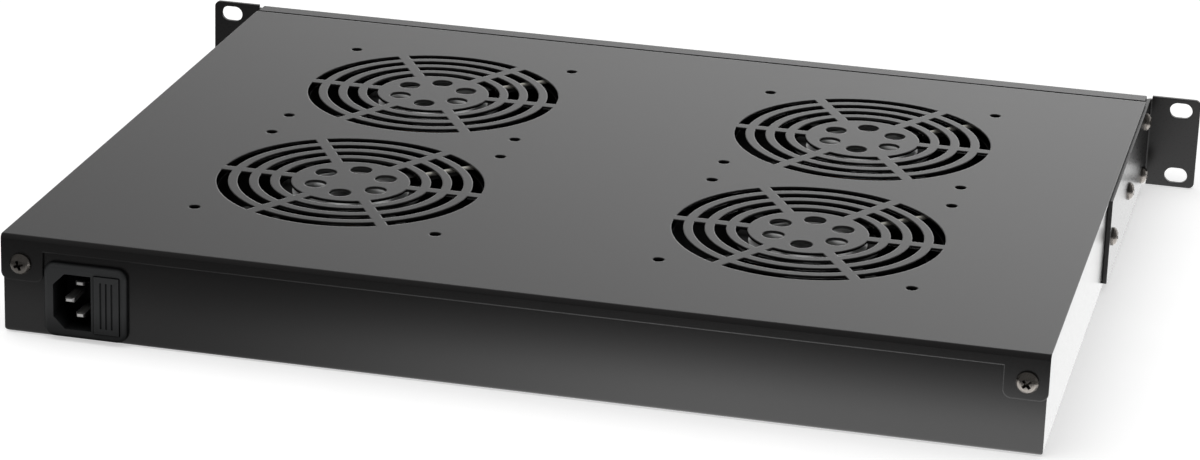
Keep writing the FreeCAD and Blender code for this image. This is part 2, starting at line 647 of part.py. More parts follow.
def fan_rotor():
    """Rotor cup, closed at the bottom, with the blades on its rim."""
    height = ROTOR_RIM - ROTOR_LIFT
    start = Vec(0, 0, ROTOR_LIFT)
    cup = rod(start, ROTOR_CUP / 2, height)
    cup = cup.cut(rod(start + AXIS_Z * ROTOR_WALL, ROTOR_CUP / 2 - ROTOR_WALL, height))
    boss = rod(start, ROTOR_BOSS / 2, ROTOR_WALL + BEARING_WIDTH)
    band = ring(Vec(0, 0, 0), FAN_BORE / 2 - BLADE_TIP_GAP, ROTOR_CUP / 2 - ROTOR_WALL / 2, FAN_DEPTH)
    trimmed = blade().common(band)
    blades = [trimmed.rotated(Vec(0, 0, 0), AXIS_Z, n * 360.0 / BLADES) for n in range(BLADES)]
    rotor = cup.multiFuse([boss] + blades)
    return rotor.cut(rod(start - AXIS_Z, SHAFT / 2, FAN_DEPTH)).removeSplitter()


def fan_shaft():
    return rod(Vec(0, 0, ROTOR_LIFT), SHAFT / 2, PLATE_UNDER - ROTOR_LIFT)


def fan_bearings():
    """Two ball bearings, one at each end of the bearing tube."""
    starts = (TUBE_FOOT, PLATE_UNDER - BEARING_WIDTH)
    return group([ring(Vec(0, 0, z), BEARING_BORE / 2, SHAFT / 2, BEARING_WIDTH) for z in starts])


def stator_start():
    return PLATE_TOP - STRUT_DEPTH - STATOR_DROP - COIL_OVERHANG - STATOR_DEPTH


def fan_stator():
    """Laminated core inside the rotor cup: a hub on the bearing tube and poles with wide shoes."""
    outer = ROTOR_CUP / 2 - ROTOR_WALL - STATOR_GAP
    inner = outer - POLE_SHOE
    half = POLE_SHOE_SPAN / 2
    shoe = prism([
        arc(outer, -half, half), line(polar(outer, half), polar(inner, half)),
        arc(inner, half, -half), line(polar(inner, -half), polar(outer, -half)),
    ], STATOR_DEPTH)
    pole = block(0, inner + POLE_SHOE / 2, -POLE_WIDTH / 2, POLE_WIDTH / 2, 0, STATOR_DEPTH).fuse(shoe)
    core = rod(Vec(0, 0, 0), STATOR_HUB / 2, STATOR_DEPTH)
    core = core.multiFuse([pole.rotated(Vec(0, 0, 0), AXIS_Z, turn) for turn in pole_turns()])
    core = core.cut(rod(Vec(0, 0, -1), BEARING_BORE / 2 + BEARING_TUBE_WALL, STATOR_DEPTH + 2))
    return core.removeSplitter().translated(Vec(0, 0, stator_start()))


def pole_turns():
    return [number * 360.0 / STATOR_POLES for number in range(STATOR_POLES)]


def fan_coils():
    """One winding round each pole of the core, between its hub and its shoe."""
    inner = STATOR_HUB / 2 + COIL_CLEARANCE
    outer = ROTOR_CUP / 2 - ROTOR_WALL - STATOR_GAP - POLE_SHOE - COIL_CLEARANCE
    hole = POLE_WIDTH / 2 + COIL_CLEARANCE
    wide = hole + COIL_THICK
    reach = outer * math.cos(math.asin(wide / outer))
    foot = stator_start()
    head = foot + STATOR_DEPTH
    coil = block(inner, reach, -wide, wide, foot - COIL_OVERHANG, head + COIL_OVERHANG)
    coil = coil.cut(block(0, outer, -hole, hole, foot - COIL_CLEARANCE, head + COIL_CLEARANCE))
    return group([coil.rotated(Vec(0, 0, 0), AXIS_Z, turn) for turn in pole_turns()])


def fan_lead(number, x, y):
    """Lead from the motor plate, over a corner of the frame and along the floor to its terminal."""
    at_rear = number > 2
    on_left = x < 0
    fall_x = x - FAN_SIZE / 2 - LEAD_FALL - (0 if at_rear else LEAD_GAP)
    way = terminal_way_y((2 if on_left else 0) + (0 if at_rear else 1))
    boss = polar(MOTOR_PLATE / 2, 180 + STRUT_ANGLE)
    turn_y = y - LEAD_CORNER - LEAD_SLANT
    entry = TERMINAL_X - TERMINAL_WIDTH / 2
    entry_z = FLOOR + TERMINAL_ENTRY_Z
    return lead("fan_%d_lead" % number, [
        Vec(x + boss.x, y + boss.y, LEAD_HIGH),
        Vec(x - LEAD_CORNER, y - LEAD_CORNER, LEAD_HIGH),
        Vec(fall_x, turn_y, LEAD_HIGH),
        Vec(fall_x, turn_y + LEAD_SLANT, LEAD_LOW),
        Vec(fall_x, way, LEAD_LOW),
        Vec(entry - 2 * TERMINAL_LEAD_IN, way, LEAD_LOW),
        Vec(entry - TERMINAL_LEAD_IN, way, entry_z),
        Vec(entry + TERMINAL_GRIP, way, entry_z),
    ])


def fan_label():
    return rod(Vec(0, 0, PLATE_TOP), LABEL / 2, LABEL_SHEET)


def fan_screws():
    """Screws up through the tray's floor into the fans' lower flanges."""
    screws = []
    wide = FLAT_HEAD / 2
    head = Part.makeCone(wide, wide - SHEET, SHEET)
    screw = head.fuse(Part.makeCylinder(M4 / 2, SHEET + SCREW_REACH)).removeSplitter()
    for x, y in FAN_PLACES:
        for dx, dy in corners(FAN_FIX_PITCH, FAN_FIX_PITCH):
            screws.append(screw.translated(Vec(x + dx, y + dy, BOTTOM)))
    return group(screws)


# ---- Mains inlet ----------------------------------------------------------------------------
def socket_prism(depth):
    """The socket's outline, its two chamfered corners on the earth side, extruded along +Z."""
    half_width = SOCKET_WIDTH / 2
    half_height = SOCKET_HEIGHT / 2
    outline = [
        Vec(-half_width, -half_height, 0),
        Vec(half_width - SOCKET_CHAMFER, -half_height, 0),
        Vec(half_width, -half_height + SOCKET_CHAMFER, 0),
        Vec(half_width, half_height - SOCKET_CHAMFER, 0),
        Vec(half_width - SOCKET_CHAMFER, half_height, 0),
        Vec(-half_width, half_height, 0),
    ]
    edges = [line(a, b) for a, b in zip(outline, outline[1:] + outline[:1])]
    return prism(edges, depth)


def pin_places():
    """The pins as (x, z) on the rear panel: line, neutral and earth."""
    x = INLET_X + SOCKET_OFFSET + PIN_LINE_OFFSET
    return [
        (x, INLET_Z + PIN_PITCH / 2),
        (x, INLET_Z - PIN_PITCH / 2),
        (x + PIN_EARTH_OFFSET, INLET_Z),
    ]


def pin_tip(x, z, end):
    """Tapered end of a pin, between its full outline and its small flat end."""
    outlines = []
    for width, height, y in (
        (PIN_WIDTH, PIN_THICK, end - PIN_TIP_DEPTH),
        (PIN_TIP_WIDTH, PIN_TIP_THICK, end),
    ):
        sides = [(-width, -height), (width, -height), (width, height), (-width, height)]
        outlines.append(Part.makePolygon([Vec(x + a / 2, y, z + b / 2) for a, b in sides + sides[:1]]))
    return Part.makeLoft(outlines, True, True)


def inlet_pins():
    """Pins with tapered tips, the earth pin the longest, and their solder tags behind the body."""
    pins = []
    back = REAR - SHEET - INLET_BODY_DEPTH
    for (x, z), longer in zip(pin_places(), (0, 0, PIN_EARTH_LONGER)):
        end = INLET_FACE - PIN_SHORT + longer
        pin = upright_block(x, z, PIN_WIDTH, PIN_THICK, back, end - PIN_TIP_DEPTH)
        tag = upright_block(x, z, PIN_WIDTH, TAG_THICK, back - TAG_LENGTH, back)
        pins.append(pin.multiFuse([pin_tip(x, z, end), tag]).removeSplitter())
    return group(pins)


def inlet_body():
    flange = rounded_plate(INLET_FLANGE_WIDTH, INLET_FLANGE_HEIGHT, INLET_FLANGE_CORNER, INLET_PROUD)
    rim = [e for e in flange.Edges if all(abs(v.Z - INLET_PROUD) < 0.001 for v in e.Vertexes)]
    flange = flange.makeFillet(INLET_ROUND, rim)
    flange = placed(flange, Vec(INLET_X, REAR, INLET_Z), AXIS_X * -1, AXIS_Z)
    body = upright_block(
        INLET_X, INLET_Z, INLET_BODY_WIDTH, INLET_BODY_HEIGHT, REAR - SHEET - INLET_BODY_DEPTH, REAR
    )
    socket = placed(
        socket_prism(SOCKET_DEPTH + 1),
        Vec(INLET_X + SOCKET_OFFSET, INLET_FACE + 1, INLET_Z), AXIS_X, AXIS_Z,
    )
    bay = upright_block(
        INLET_X + DRAWER_OFFSET, INLET_Z, DRAWER_WIDTH + 2 * DRAWER_CLEARANCE,
        DRAWER_HEIGHT + 2 * DRAWER_CLEARANCE, INLET_FACE - DRAWER_DEPTH - DRAWER_CLEARANCE, INLET_FACE + 1,
    )
    return body.fuse(flange).cut([socket, bay, inlet_pins()]).removeSplitter()


def fuse_place():
    """Middle of the fuse, which stands upright in the drawer."""
    return Vec(INLET_X + DRAWER_OFFSET, INLET_FACE - DRAWER_DEPTH / 2, INLET_Z)


def fuse_drawer():
    x = INLET_X + DRAWER_OFFSET
    front = INLET_FACE + DRAWER_PROUD
    drawer = upright_block(x, INLET_Z, DRAWER_WIDTH, DRAWER_HEIGHT, INLET_FACE - DRAWER_DEPTH, front)
    centre = fuse_place()
    half = FUSE_CAP / 2 + FUSE_CLEARANCE
    length = FUSE_LENGTH + 2 * FUSE_CLEARANCE
    cradle = block(
        x - half, x + DRAWER_WIDTH, centre.y - half, centre.y + half,
        INLET_Z - length / 2, INLET_Z + length / 2,
    )
    grooves = []
    for number in range(-1, 2):
        groove_x = x + number * DRAWER_GROOVE_PITCH
        grooves.append(
            upright_block(
                groove_x, INLET_Z, DRAWER_GROOVE, DRAWER_GROOVE_LENGTH, front - DRAWER_GROOVE / 2, front + 1
            )
        )
    return drawer.cut([cradle] + grooves)


def fuse_glass():
    start = fuse_place() - AXIS_Z * (FUSE_LENGTH / 2 - FUSE_CAP_WALL)
    return rod(start, FUSE_CAP / 2 - FUSE_CAP_WALL, FUSE_LENGTH - 2 * FUSE_CAP_WALL)


def fuse_caps():
    centre = fuse_place()
    depth = FUSE_LENGTH / 4
    caps = []
    for side in (-1, 1):
        end = centre + AXIS_Z * side * (FUSE_LENGTH / 2)
        caps.append(rod(end, FUSE_CAP / 2, depth, AXIS_Z * -side))
    return group([cap.cut(fuse_glass()) for cap in caps])


# ---- Terminal block, earth stud and leads ---------------------------------------------------
def terminal_way_y(way):
    return TERMINAL_Y + (way - (TERMINAL_WAYS - 1) / 2) * TERMINAL_PITCH


def terminal_screw_places():
    """Clamp screws as (x, y), two to a way."""
    sides = (-TERMINAL_SCREW_SPACING / 2, TERMINAL_SCREW_SPACING / 2)
    return [(TERMINAL_X + side, terminal_way_y(way)) for way in range(TERMINAL_WAYS) for side in sides]


def terminal_block():
    """Insulating block with a step over each wire entry and two clamp screws to a way."""
    length = TERMINAL_WAYS * TERMINAL_PITCH
    y0 = TERMINAL_Y - length / 2
    x0 = TERMINAL_X - TERMINAL_WIDTH / 2
    x1 = TERMINAL_X + TERMINAL_WIDTH / 2
    top = FLOOR + TERMINAL_HEIGHT
    body = block(x0, x1, y0, y0 + length, FLOOR, top)
    step = top - TERMINAL_SHOULDER
    cutters = []
    for start in (x0 - 1, x1 - TERMINAL_SHOULDER):
        end = start + TERMINAL_SHOULDER + 1
        cutters.append(block(start, end, y0 - 1, y0 + length + 1, step, top + 1))
    for way in range(TERMINAL_WAYS):
        hole = Vec(x0 - 1, terminal_way_y(way), FLOOR + TERMINAL_ENTRY_Z)
        cutters.append(rod(hole, TERMINAL_ENTRY / 2, TERMINAL_WIDTH + 2, AXIS_X))
    for x, y in terminal_screw_places():
        cutters.append(rod(Vec(x, y, FLOOR + TERMINAL_ENTRY_Z), TERMINAL_SCREW / 2, TERMINAL_HEIGHT))
    cutters.append(rod(Vec(TERMINAL_X, TERMINAL_Y, FLOOR - 1), M3 / 2, TERMINAL_HEIGHT + 2))
    cutters.append(rod(Vec(TERMINAL_X, TERMINAL_Y, top - M3_HEAD_HEIGHT), M3_HEAD / 2, M3_HEAD_HEIGHT + 1))
    return body.cut(cutters)


def terminal_screws():
    """Clamp screws, whose tips stop at the leads."""
    foot = FLOOR + TERMINAL_ENTRY_Z + LEAD / 2
    length = FLOOR + TERMINAL_HEIGHT - TERMINAL_SCREW_SINK - foot
    return group([rod(Vec(x, y, foot), TERMINAL_SCREW / 2, length) for x, y in terminal_screw_places()])


def terminal_block_screw():
    """Screw down through the block's middle into the tray's floor."""
    seat = FLOOR + TERMINAL_HEIGHT - M3_HEAD_HEIGHT
    foot = FLOOR - SHEET
    shank = rod(Vec(TERMINAL_X, TERMINAL_Y, foot), M3 / 2, seat - foot)
    head = rod(Vec(TERMINAL_X, TERMINAL_Y, seat), M3_HEAD / 2, M3_HEAD_HEIGHT)
    return shank.fuse(head).removeSplitter()


def earth_stud():
    return rod(Vec(EARTH_X, EARTH_Y, FLOOR), M4 / 2, EARTH_STUD_LENGTH)


def earth_lug():
    """Ring terminal on the stud, with its barrel towards the inlet."""
    plate = rod(Vec(EARTH_X, EARTH_Y, FLOOR), EARTH_LUG / 2, EARTH_LUG_SHEET)
    neck_end = EARTH_Y + EARTH_BARREL_LENGTH / 2
    half = EARTH_BARREL / 2
    neck = block(EARTH_X - half, EARTH_X + half, EARTH_Y, neck_end, FLOOR, FLOOR + EARTH_LUG_SHEET)
    barrel = rod(Vec(EARTH_X, neck_end, FLOOR + half), half, EARTH_BARREL_LENGTH / 2, AXIS_Y)
    hole = rod(Vec(EARTH_X, EARTH_Y, FLOOR - 1), M4 / 2, EARTH_LUG_SHEET + 2)
    return plate.multiFuse([neck, barrel]).cut(hole).removeSplitter()


def earth_nuts():
    """Two hexagon nuts, one on the other, over the ring terminal."""
    across = EARTH_NUT / math.sqrt(3)
    outline = [polar(across, number * 60) for number in range(6)]
    edges = [line(a, b) for a, b in zip(outline, outline[1:] + outline[:1])]
    nut = prism(edges, EARTH_NUT_HEIGHT).cut(rod(Vec(0, 0, -1), M4 / 2, EARTH_NUT_HEIGHT + 2))
    foot = FLOOR + EARTH_LUG_SHEET
    return group([nut.translated(Vec(EARTH_X, EARTH_Y, foot + n * EARTH_NUT_HEIGHT)) for n in range(2)])


def feed_leads():
    """Leads of the mains side, by name: their routes follow the tray's +X side and rear."""
    line_pin, neutral_pin, earth_pin = pin_places()
    upper = SWITCH_Z + SWITCH_TAG_PITCH / 2
    lower = SWITCH_Z - SWITCH_TAG_PITCH / 2
    tag = SWITCH_BACK + TAG_LENGTH
    entry = TERMINAL_X + TERMINAL_WIDTH / 2
    entry_z = FLOOR + TERMINAL_ENTRY_Z
    fan_side = FAN_PITCH_X / 2 + FAN_SIZE / 2
    barrel_z = FLOOR + EARTH_BARREL / 2
    routes = {
        "line_lead": [
            Vec(line_pin[0], INLET_TAG_END, line_pin[1]),
            Vec(line_pin[0], INLET_TAG_END - 20, line_pin[1]),
            Vec(fan_side + 26, INLET_TAG_END - 48, LEAD_LOW),
            Vec(fan_side + 28, tag + 44, LEAD_LOW),
            Vec(SWITCH_X, tag + 18, upper),
            Vec(SWITCH_X, tag, upper),
        ],
        "switched_lead": [
            Vec(SWITCH_X, tag, lower),
            Vec(SWITCH_X, tag + 14, lower),
            Vec(fan_side + 14, tag + 42, LEAD_LOW),
            Vec(fan_side + 12, INLET_TAG_END - 36, LEAD_LOW),
            Vec(fan_side + 6, terminal_way_y(2) - 10, LEAD_LOW),
            Vec(entry + TERMINAL_LEAD_IN - 2, terminal_way_y(2), entry_z),
            Vec(entry - TERMINAL_GRIP, terminal_way_y(2), entry_z),
        ],
        "neutral_lead": [
            Vec(neutral_pin[0], INLET_TAG_END, neutral_pin[1]),
            Vec(neutral_pin[0], INLET_TAG_END - 16, neutral_pin[1]),
            Vec(fan_side + 6, terminal_way_y(0) - 8, entry_z + 1.5),
            Vec(entry + TERMINAL_LEAD_IN - 4, terminal_way_y(0), entry_z),
            Vec(entry - TERMINAL_GRIP, terminal_way_y(0), entry_z),
        ],
        "earth_lead": [
            Vec(earth_pin[0], INLET_TAG_END, earth_pin[1]),
            Vec(earth_pin[0], INLET_TAG_END - 12, earth_pin[1]),
            Vec(EARTH_X, EARTH_Y + EARTH_BARREL_LENGTH + 14, barrel_z),
            Vec(EARTH_X, EARTH_Y + EARTH_BARREL_LENGTH, barrel_z),
        ],
    }
    return {name: lead(name, points) for name, points in routes.items()}


# ---- Rocker switch --------------------------------------------------------------------------
def switch_pivot():
    return Vec(SWITCH_X, FRONT - SWITCH_PROUD + ROCKER_PIVOT, SWITCH_Z)


def switch_body():
    bezel = rounded_plate(SWITCH_BEZEL_WIDTH, SWITCH_BEZEL_HEIGHT, SWITCH_BEZEL_CORNER, SWITCH_PROUD)
    bezel = placed(bezel, Vec(SWITCH_X, FRONT, SWITCH_Z), AXIS_X, AXIS_Z)
    body = upright_block(
        SWITCH_X, SWITCH_Z, SWITCH_BODY_WIDTH, SWITCH_BODY_HEIGHT, FRONT, SWITCH_BACK
    )
    half = ROCKER_WIDTH / 2 + ROCKER_CLEARANCE
    start = switch_pivot() - AXIS_X * half
    cavity = rod(start, ROCKER_RADIUS + ROCKER_CLEARANCE, 2 * half, AXIS_X)
    pin_half = ROCKER_WIDTH / 2 + ROCKER_PIN_REACH + ROCKER_PIN_GAP
    pin_start = switch_pivot() - AXIS_X * pin_half
    bearings = rod(pin_start, ROCKER_PIN / 2 + ROCKER_PIN_GAP, 2 * pin_half, AXIS_X)
    return body.fuse(bezel).cut([cavity, bearings]).removeSplitter()


def switch_tags():
    """The two tags behind the switch."""
    tags = []
    for side in (-1, 1):
        z = SWITCH_Z + side * SWITCH_TAG_PITCH / 2
        tags.append(
            upright_block(SWITCH_X, z, SWITCH_TAG_WIDTH, TAG_THICK, SWITCH_BACK, SWITCH_BACK + TAG_LENGTH)
        )
    return group(tags)


def switch_rocker():
    """Rocker with round ends about its pivot, resting with its upper end pressed in."""
    proud = math.radians(ROCKER_CROWN)
    end = Vec(ROCKER_RADIUS * math.cos(proud), ROCKER_RADIUS * math.sin(proud), 0)
    other = Vec(-end.x, end.y, 0)
    edges = [
        line(other, Vec(0, ROCKER_WAIST, 0)),
        line(Vec(0, ROCKER_WAIST, 0), end),
        Part.Arc(end, Vec(0, -ROCKER_RADIUS, 0), other).toShape(),
    ]
    rocker = prism(edges, ROCKER_WIDTH).translated(Vec(0, 0, -ROCKER_WIDTH / 2))
    pin_half = ROCKER_WIDTH / 2 + ROCKER_PIN_REACH
    rocker = rocker.fuse(rod(Vec(0, 0, -pin_half), ROCKER_PIN / 2, 2 * pin_half)).removeSplitter()
    rocker = rocker.rotated(Vec(0, 0, 0), AXIS_Z, ROCKER_SWING)
    return placed(rocker, switch_pivot(), AXIS_Z * -1, AXIS_Y * -1)


# ---- Build ----------------------------------------------------------------------------------
export("base_tray", base_tray())
export("top_cover", top_cover())
right_bracket = rack_bracket()
export("right_rack_bracket", right_bracket)
export("left_rack_bracket", mirrored(right_bracket))
export("bracket_screws", bracket_screws())
export("bracket_nuts", bracket_nuts())
export("cover_screws", cover_screws())
export("cover_nuts", cover_nuts())
frame = fan_frame()
rotor = fan_rotor()
shaft = fan_shaft()
bearings = fan_bearings()
stator = fan_stator()
coils = fan_coils()
label = fan_label()
for number, (x, y) in enumerate(FAN_PLACES, 1):
    place = Vec(x, y, FLOOR)
    export("fan_%d_frame" % number, frame.translated(place))
    export("fan_%d_rotor" % number, rotor.translated(place))
    export("fan_%d_shaft" % number, shaft.translated(place))
    export("fan_%d_bearings" % number, bearings.translated(place))
    export("fan_%d_stator" % number, stator.translated(place))
    export("fan_%d_coils" % number, coils.translated(place))
    export("fan_%d_lead" % number, fan_lead(number, x, y))
    export("fan_%d_label" % number, label.translated(place))
export("fan_screws", fan_screws())
export("inlet_body", inlet_body())
export("inlet_pins", inlet_pins())
export("fuse_drawer", fuse_drawer())
export("fuse_glass", fuse_glass())
export("fuse_caps", fuse_caps())
export("terminal_block", terminal_block())
export("terminal_screws", terminal_screws())
export("terminal_block_screw", terminal_block_screw())
export("earth_stud", earth_stud())
export("earth_lug", earth_lug())
export("earth_nuts", earth_nuts())
for name, tube in feed_leads().items():
    export(name, tube)
export("switch_body", switch_body())
export("switch_tags", switch_tags())
export("switch_rocker", switch_rocker())
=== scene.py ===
"""Rack fan tray: finishes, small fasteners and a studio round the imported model, in metres.

The tray stands with its fans blowing upwards. +Y is its rear, where the mains inlet is, and
+X is the inlet's side.
"""
import math

import bmesh
import bpy
from mathutils import Matrix, Vector


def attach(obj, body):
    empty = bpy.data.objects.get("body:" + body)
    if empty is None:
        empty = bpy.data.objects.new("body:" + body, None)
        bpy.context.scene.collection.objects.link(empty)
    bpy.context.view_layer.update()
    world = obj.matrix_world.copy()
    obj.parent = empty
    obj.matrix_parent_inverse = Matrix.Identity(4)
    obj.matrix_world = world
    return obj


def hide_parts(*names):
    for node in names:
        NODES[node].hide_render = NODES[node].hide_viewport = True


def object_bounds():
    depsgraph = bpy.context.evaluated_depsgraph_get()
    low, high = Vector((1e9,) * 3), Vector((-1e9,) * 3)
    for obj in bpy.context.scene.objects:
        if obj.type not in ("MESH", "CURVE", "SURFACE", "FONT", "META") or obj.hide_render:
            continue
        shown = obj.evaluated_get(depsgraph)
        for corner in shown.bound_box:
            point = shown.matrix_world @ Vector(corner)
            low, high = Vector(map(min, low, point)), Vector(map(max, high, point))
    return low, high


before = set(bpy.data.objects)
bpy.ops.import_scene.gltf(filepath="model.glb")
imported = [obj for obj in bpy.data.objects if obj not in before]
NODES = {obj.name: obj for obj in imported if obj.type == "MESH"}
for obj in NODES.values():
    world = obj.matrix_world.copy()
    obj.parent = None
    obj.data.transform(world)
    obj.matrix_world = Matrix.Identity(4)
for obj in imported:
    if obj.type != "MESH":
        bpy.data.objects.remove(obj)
CAD_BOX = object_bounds()
FANS = range(1, 5)

MM = 0.001
LOW, HIGH = CAD_BOX

# ---- Screw sizes, in mm ---------------------------------------------------------------------
# The edge is the upright rim of the head, the crown rises over it, and a seat sinks below it.
PAN_SCREW = {
    "Head Diameter": 8.0, "Edge Height": 0.9, "Crown Height": 1.7, "Seat Depth": 0.0,
    "Shank Diameter": 4.0, "Shank Length": 8.6, "Recess Width": 4.6, "Recess Depth": 1.9,
}
REAR_SCREW = {
    **PAN_SCREW, "Head Diameter": 9.0, "Edge Height": 1.0, "Crown Height": 2.0,
    "Shank Length": 8.0, "Recess Width": 4.4, "Recess Depth": 2.3,
}
FLAT_SCREW = {
    **PAN_SCREW, "Head Diameter": 6.6, "Edge Height": 0.0, "Crown Height": 0.0,
    "Seat Depth": 1.2, "Shank Length": 5.6, "Recess Width": 3.6, "Recess Depth": 1.3,
}
# Where the driver left each recess, in degrees. The turns repeat when there are more screws.
BRACKET_TURNS = (12, 55, 31, 78, 5, 64, 40)
COVER_TURNS = (42, 20)
FAN_TURNS = (8, 47, 71, 26, 60, 15, 83)

HEAD_SIDES = 36               # corners round a head
HEAD_RINGS = 6                # rings across a head, which its crown bends
SHANK_SIDES = 20              # corners round a shank
CROWN_POWER = 4.0             # crown: flat in the middle, falling towards the edge
BLADE_SHARE = 0.28            # recess: width of a blade, as a share of its length
SMOOTH_BELOW = 28             # faces that fold by less than this many degrees shade smoothly
WELD = 1e-6                   # corners nearer than this are one

# ---- Pattern and shading settings -----------------------------------------------------------
WAVE_SPACING = 0.314          # bands of a wave texture are this far apart at a scale of 1
SHADING_RAYS = 8              # rays that feel for edges and hollows
# Painted shade: ambient occlusion darkens colour and gloss in hollows, faster with a higher
# power.
PAINTED_SHADE_POWER = 2.0            # how fast a hollow darkens as it closes
NEUTRAL_GLOSS = 0.5           # Specular IOR Level that leaves the IOR's own gloss

# ---- Studio settings ------------------------------------------------------------------------
FLOOR_REACH = 6.0             # floor, from its middle to its sides
FLOOR_GAP = 0.3 * MM          # floor under the tray, so that no two faces share a plane
FLOOR_GRAIN = 30 * MM         # clouds in the paper
FLOOR_LIFT = 0.5              # the floor's own white to the eye, over what the lamp gives it
# Painted pool of light: in gloss the floor glows by itself, brightest near the tray and towards
# -X.
FAR_FLOOR = 0.08              # floor in gloss: what is left of its light far from the tray
# Floor in gloss: share of its light by the distance from the tray, then light by X.
POOL = {"From Min": 0.02, "From Max": 0.095, "To Min": 1.0, "To Max": 0.02}
SIDES = {"From Min": -0.1, "From Max": 0.17, "To Min": 2.05, "To Max": 0.4}

AMBIENT = 0.4                 # light of the world on matt surfaces
# World in gloss: where the glow is, its light by how nearly a ray points there, and what is
# left of that light well away from it, as overhead.
GLOW_HEADING = (-0.31, -0.86, -0.42)
GLOW = {"From Min": 0.47, "From Max": 0.74, "To Min": 0.42, "To Max": 1.5}
OVERHEAD = {"From Min": 0.05, "From Max": 0.45, "To Min": 0.4, "To Max": 1.0}

LAMP_PLACE = (0.4, 0.3, 1.8)
LAMP_AIM = (0.0, 0.17, 0.0)
LAMP_SIDE = 2.4               # a wide lamp, so that shadows are soft
LAMP_POWER = 19.0             # watts

CAMERA_PLACE = (-0.36558, 1.78726, 0.58554)
CAMERA_VIEW = (0.20991, -0.91706, -0.33902)
CAMERA_ROLL = 1.975           # degrees
CAMERA_LENS = 119.58          # mm
CAMERA_SENSOR = 36.0          # mm
CAMERA_NEAR = 0.05            # nothing nearer or farther than these is drawn
CAMERA_FAR = 50.0


# ---- Node and mesh helpers ------------------------------------------------------------------
def linear(code):
    """Linear colour of an sRGB hex value."""
    parts = [int(code[i:i + 2], 16) / 255 for i in (0, 2, 4)]
    return [c / 12.92 if c <= 0.04045 else ((c + 0.055) / 1.055) ** 2.4 for c in parts] + [1.0]


def add(tree, kind, inputs=None, **settings):
    """Adds a node with its settings and links.

    An input is a value, a socket, or a node whose first output in use feeds it.
    """
    node = tree.nodes.new(kind)
    for name, value in settings.items():
        setattr(node, name, value)
    for name, value in (inputs or {}).items():
        socket = node.inputs[name] if isinstance(name, int) else next(
            s for s in node.inputs if s.name == name and s.enabled
        )
        if isinstance(value, bpy.types.Node):
            value = next(s for s in value.outputs if s.enabled)
        if isinstance(value, bpy.types.NodeSocket):
            tree.links.new(value, socket)
        else:
            socket.default_value = value
    return node


def empty_tree(holder):
    """Node tree of a new material or world, without its first nodes."""
    holder.use_nodes = True
    holder.node_tree.nodes.clear()
    return holder.node_tree


def linked(obj):
    """Puts a new object into the scene."""
    bpy.context.scene.collection.objects.link(obj)
    return obj


def solids_of(node):
    """Lowest and highest corner of each separate solid of a CAD node."""
    shape = bmesh.new()
    shape.from_mesh(NODES[node].data)
    bmesh.ops.remove_doubles(shape, verts=shape.verts, dist=WELD)
    left = set(shape.verts)
    boxes = []
    while left:
        edge = [left.pop()]
        points = []
        while edge:
            vert = edge.pop()
            points.append(vert.co.copy())
            for link in vert.link_edges:
                other = link.other_vert(vert)
                if other in left:
                    left.remove(other)
                    edge.append(other)
        boxes.append((
            Vector([min(p[i] for p in points) for i in range(3)]),
            Vector([max(p[i] for p in points) for i in range(3)]),
        ))
    shape.free()
    return boxes


# ---- Materials ------------------------------------------------------------------------------
def surface(name, texture, pattern, colours, roughness, relief, look,
            edge=0.0, drift=0.0, painted_shade_reach=0.0, **settings):
    """Material whose colour, roughness and relief follow one pattern in object coordinates.

    Roughness is its least and its most, and relief is a strength with a depth in mm. An edge
    rounds sharp corners to the light by its radius in mm, a drift gives the colour a wider noise
    of so many mm, and painted shade from ambient occlusion darkens colour and gloss where faces
    within so many mm close in.
    """
    material = bpy.data.materials.new(name)
    tree = empty_tree(material)
    place = add(tree, "ShaderNodeTexCoord").outputs["Object"]
    grain = add(tree, texture, {"Vector": place, **pattern}, **settings)
    shade = grain
    if drift:
        shade = add(tree, "ShaderNodeTexNoise", {
            "Vector": place, "Scale": 1 / (drift * MM), "Detail": 2.0
        })
    height = {"Height": grain, "Strength": relief[0], "Distance": relief[1] * MM}
    if edge:
        height["Normal"] = add(tree, "ShaderNodeBevel", {"Radius": edge * MM},
                               samples=SHADING_RAYS)
    colour = add(tree, "ShaderNodeMix", {
        "Factor": shade, "A": linear(colours[0]), "B": linear(colours[1])
    }, data_type="RGBA")
    # Painted shade: ambient occlusion darkens the colour towards black and lowers the gloss where
    # faces close in.
    if painted_shade_reach:
        painted_shade_openness = add(tree, "ShaderNodeAmbientOcclusion", {"Distance": painted_shade_reach * MM},
                       samples=SHADING_RAYS)
        painted_shade_openness = add(tree, "ShaderNodeMath", {
            0: painted_shade_openness.outputs["AO"], 1: PAINTED_SHADE_POWER
        }, operation="POWER")
        gloss = add(tree, "ShaderNodeMath", {0: painted_shade_openness, 1: NEUTRAL_GLOSS},
                    operation="MULTIPLY")
        colour = add(tree, "ShaderNodeMix", {
            "Factor": painted_shade_openness, "A": linear("000000"), "B": colour.outputs[2]
        }, data_type="RGBA").outputs[2]
        look = {**look, "Specular IOR Level": gloss}
    shader = add(tree, "ShaderNodeBsdfPrincipled", {
        "Base Color": colour,
        "Roughness": add(tree, "ShaderNodeMapRange", {
            "Value": grain, "To Min": roughness[0], "To Max": roughness[1]
        }),
        "Normal": add(tree, "ShaderNodeBump", height),
        **look,
    })
    add(tree, "ShaderNodeOutputMaterial", {"Surface": shader})
    return material


